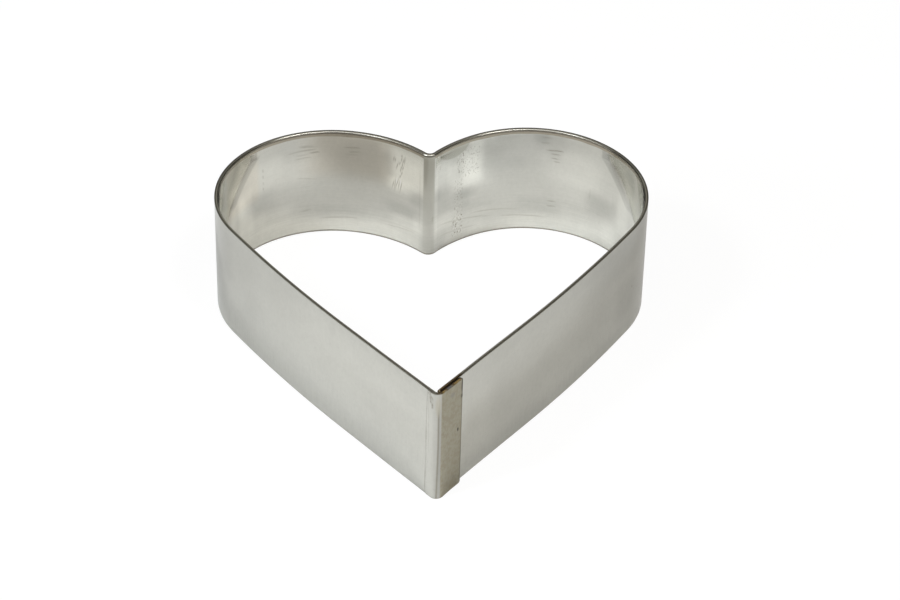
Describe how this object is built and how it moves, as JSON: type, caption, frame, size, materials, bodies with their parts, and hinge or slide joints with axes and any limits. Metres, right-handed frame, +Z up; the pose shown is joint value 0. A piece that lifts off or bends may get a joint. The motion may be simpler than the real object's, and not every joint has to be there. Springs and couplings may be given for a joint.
{
  "type": "heart cake ring",
  "caption": "Open heart-shaped cake ring bent from steel strip, lapped and spot welded at the tip, for shaping cakes, mousse and dough.",
  "frame": {"origin": "middle of the ring's bounding box, at the level of the lower rim", "axes": "+Z up through the open ring, +Y from the tip towards the notch, +X to the right as seen from the tip"},
  "size_m": [0.1558, 0.1592, 0.045],
  "materials": {
    "stainless_steel": "satin cold-rolled stainless sheet, softly reflective, with faint rolling marks, small tool dents and heat tint at the lap",
    "weld_metal": "dull fused steel with brown and blue heat tint"
  },
  "bodies": {
    "root": {"heart_band": "stainless_steel", "spot_weld_top": "weld_metal", "spot_weld_middle": "weld_metal", "spot_weld_bottom": "weld_metal"}
  },
  "joints": []
}
